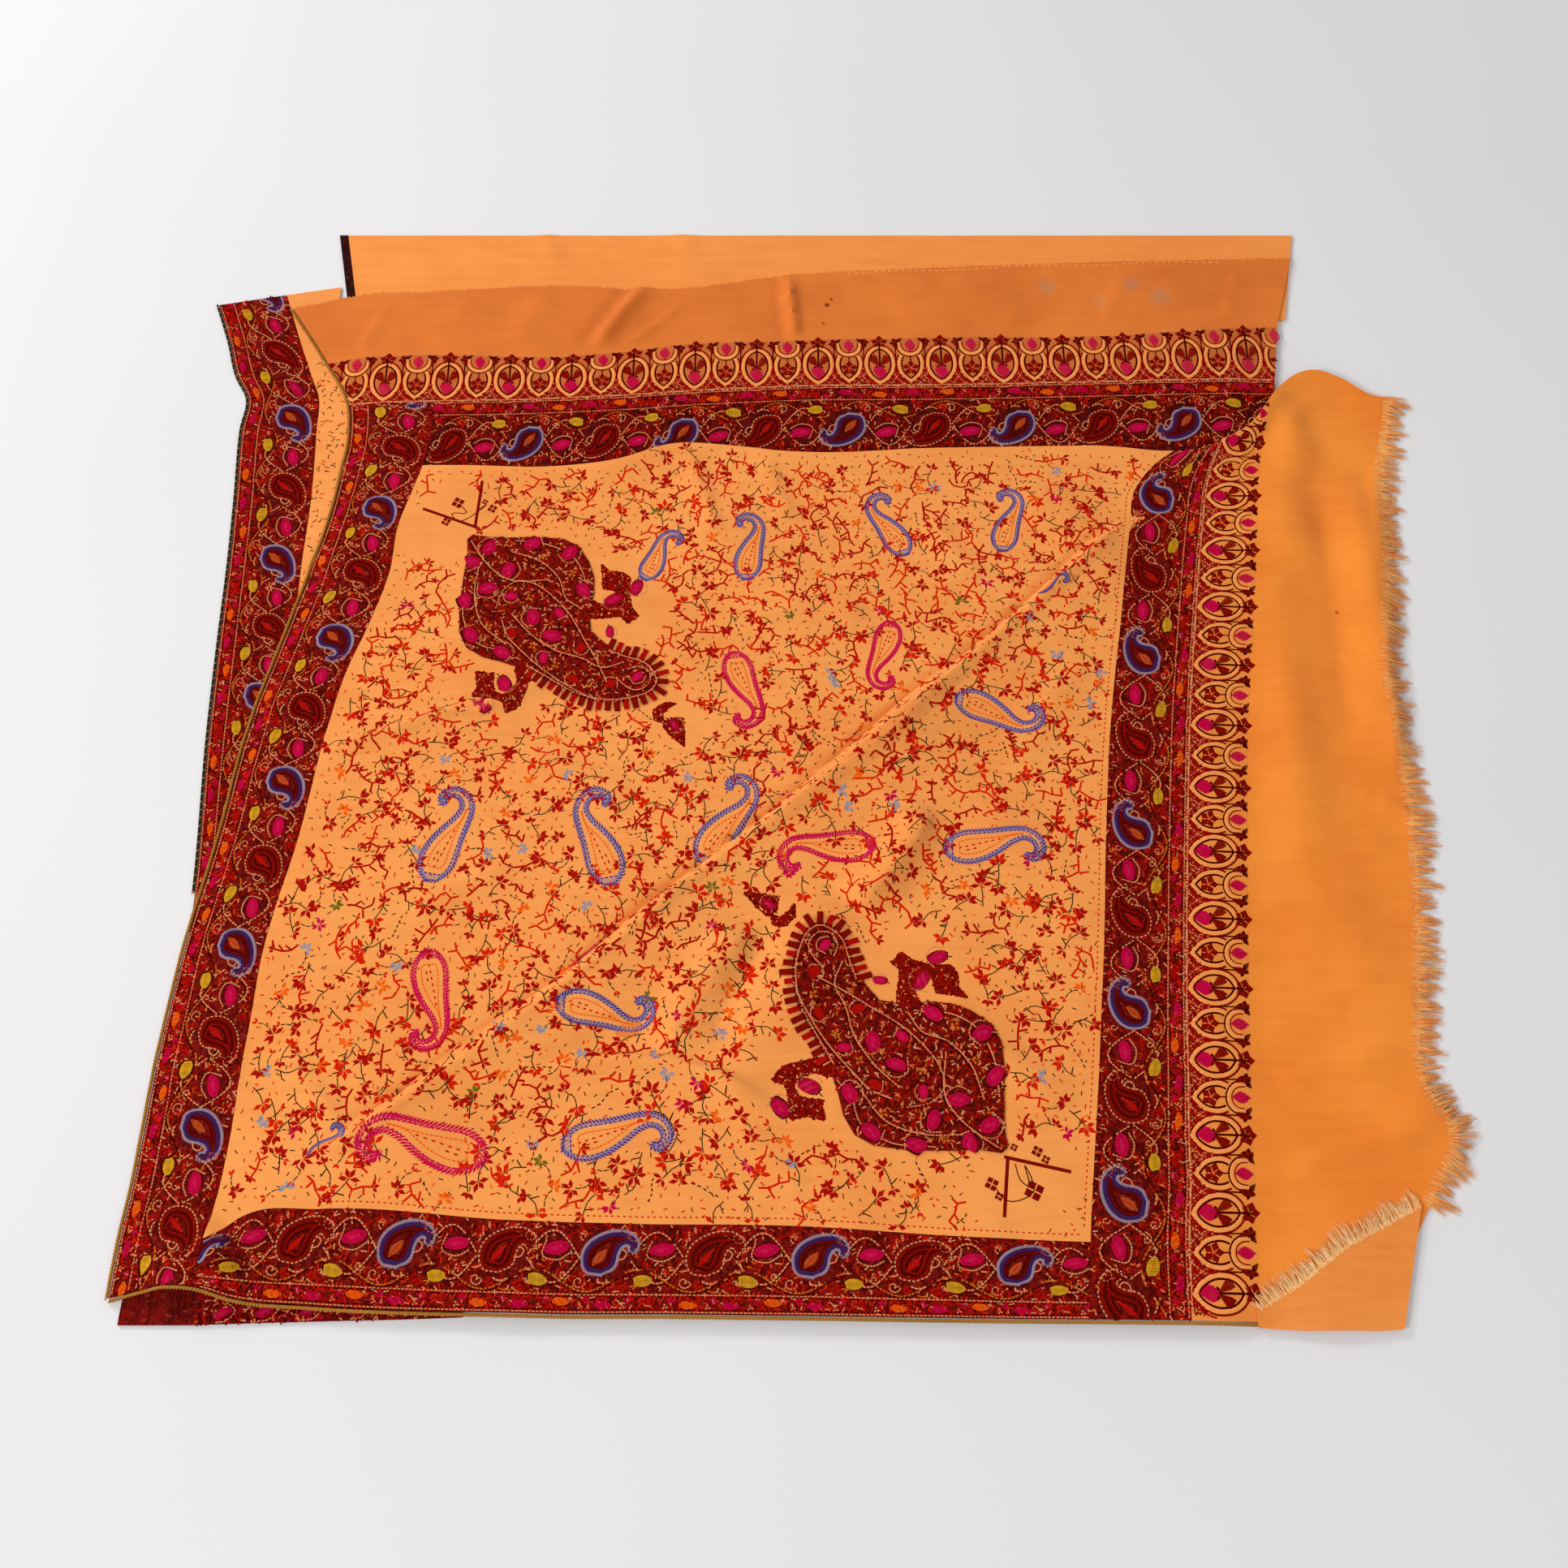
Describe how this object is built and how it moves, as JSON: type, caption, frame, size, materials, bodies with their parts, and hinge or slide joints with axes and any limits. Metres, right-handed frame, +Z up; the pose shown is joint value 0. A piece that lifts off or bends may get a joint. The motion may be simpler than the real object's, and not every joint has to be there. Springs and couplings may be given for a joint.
{
  "type": "throw blanket",
  "caption": "Folded wool throw laid flat, with a flowered field, paisley borders, rows of arches, plain frayed ends, one corner folded back and the sheet below showing at two sides",
  "frame": {"origin": "the middle of the part's footprint, on the surface that it lies on", "axes": "+X to the right and +Y away from the viewer, as the throw lies in the picture, and +Z up"},
  "size_m": [1.1148, 1.0191, 0.0153],
  "materials": {
    "field": "fine wool with scattered flower embroidery",
    "border": "wool covered in dense maroon embroidery",
    "arch_row": "wool with a row of embroidered arches",
    "plain_cloth": "plain fine wool",
    "gold_hem": "rolled hem in golden thread",
    "dark_hem": "stitched edge in dark thread",
    "fringe": "frayed warp threads",
    "hidden_cloth": "plain fine wool"
  },
  "bodies": {
    "root": {"field": "field", "border_left": "border", "border_bottom": "border", "border_right": "border", "border_top": "border", "arch_row_right": "arch_row", "arch_row_top": "arch_row", "plain_end_right": "plain_cloth", "plain_end_top": "plain_cloth", "folded_corner": "plain_cloth", "corner_paisley_far": "border", "corner_paisley_near": "border", "hem_left": "gold_hem", "hem_bottom": "gold_hem", "fringe_right": "fringe", "fringe_corner": "fringe", "fringe_far": "fringe", "lower_border": "border", "lower_border_near": "border", "lower_field": "field", "lower_hem": "dark_hem", "under_end": "plain_cloth", "under_end_binding": "dark_hem", "hidden_folds": "hidden_cloth"}
  },
  "joints": []
}
